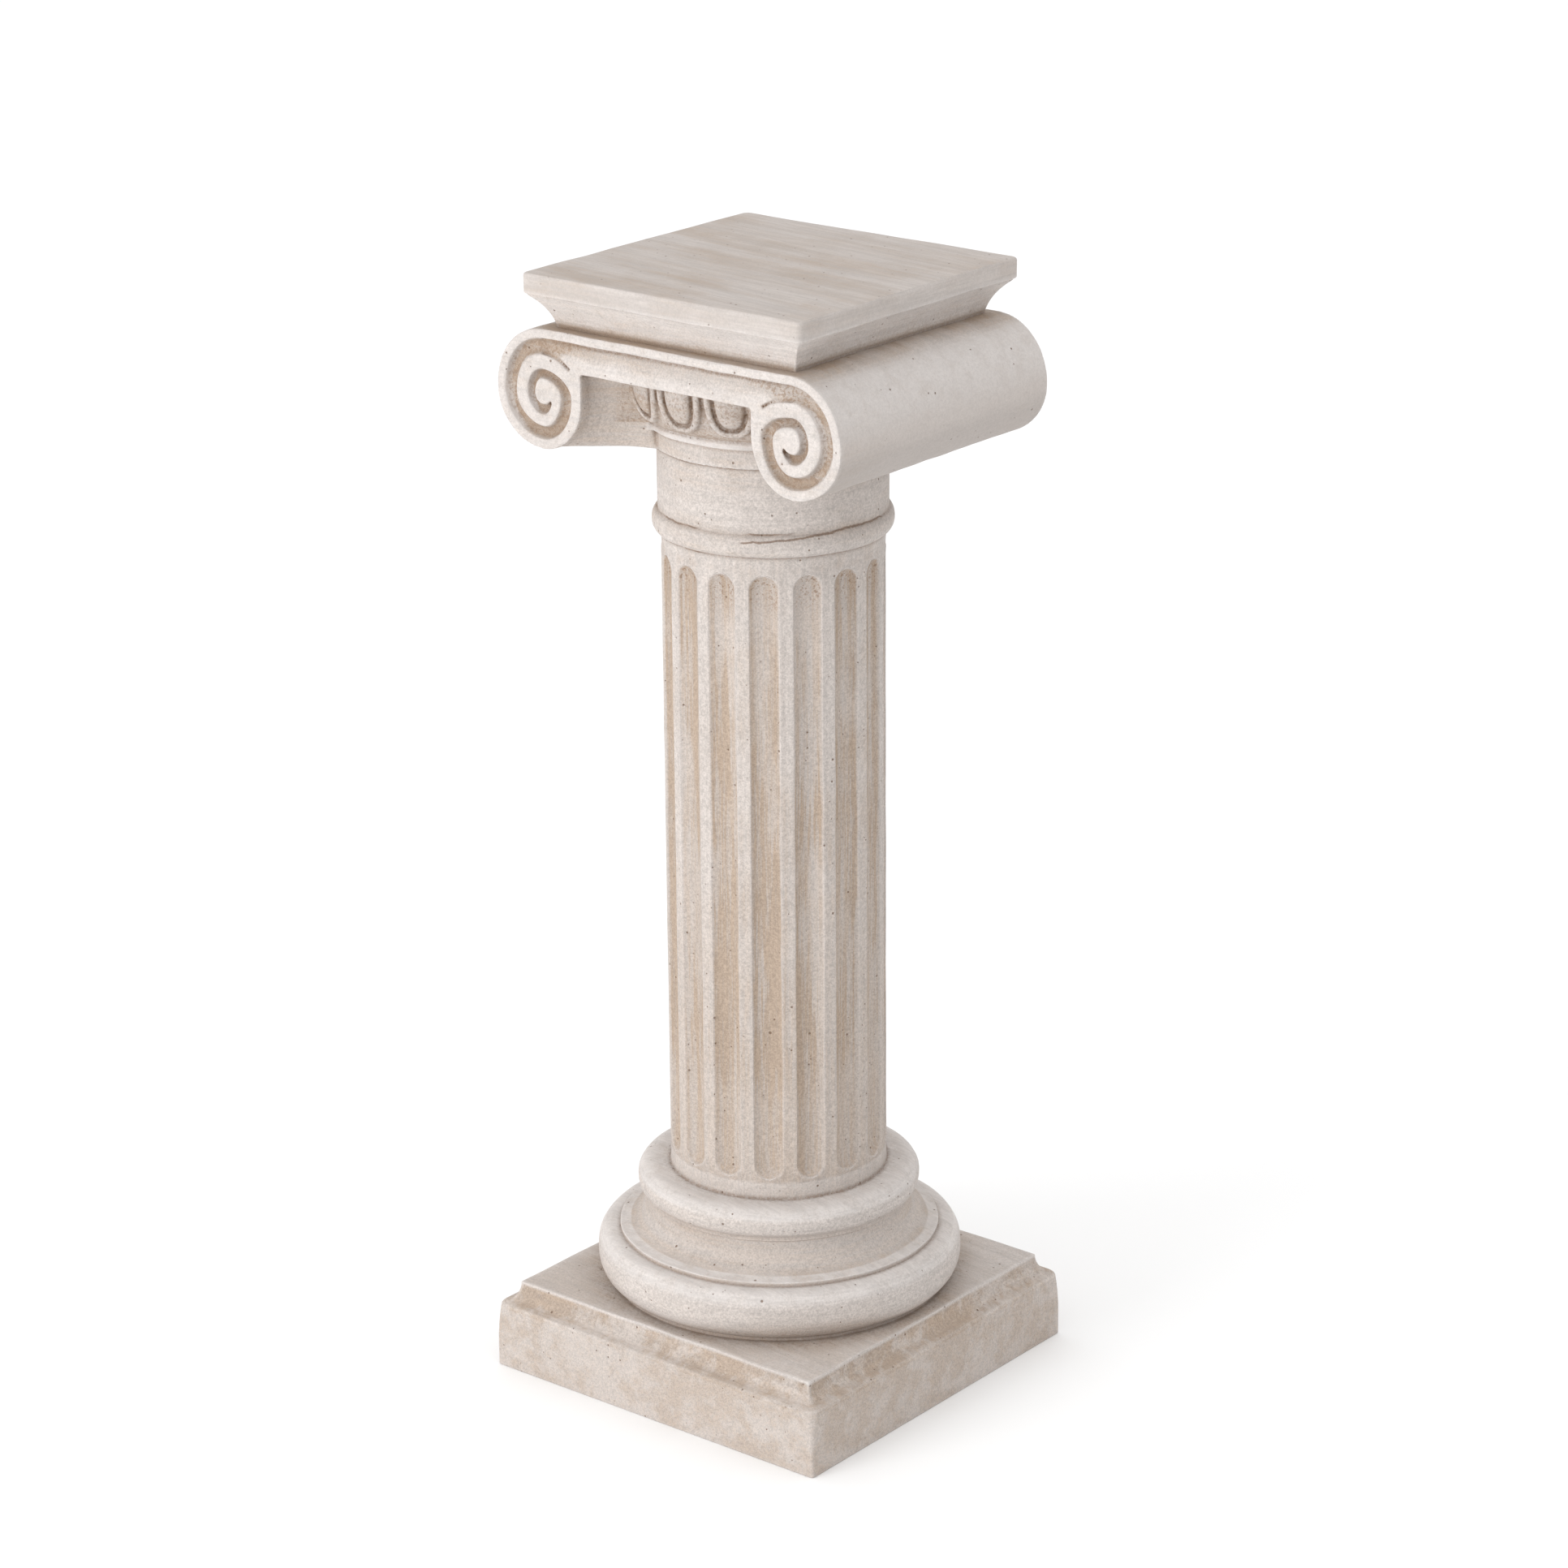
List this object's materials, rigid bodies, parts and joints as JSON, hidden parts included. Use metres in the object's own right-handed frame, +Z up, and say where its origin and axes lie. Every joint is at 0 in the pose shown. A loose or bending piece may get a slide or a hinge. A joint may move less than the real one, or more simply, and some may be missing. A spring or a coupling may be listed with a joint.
{
  "type": "column plant stand",
  "caption": "Square-topped pedestal shaped as a short Ionic column in limewashed cast stone, with a fluted shaft, scrolled capital and moulded plinth.",
  "frame": {"origin": "centre of the underside of the plinth", "axes": "+Z up the column; the scrolled faces look along -Y and +Y; the plain rolls of the capital lie along Y at -X and +X"},
  "size_m": [0.2808, 0.2756, 0.7629],
  "materials": {
    "cast_stone": "limewashed cast stone, matt, with a brown wash left in the hollows"
  },
  "bodies": {
    "root": {"column_plant_stand": "cast_stone"}
  },
  "joints": []
}
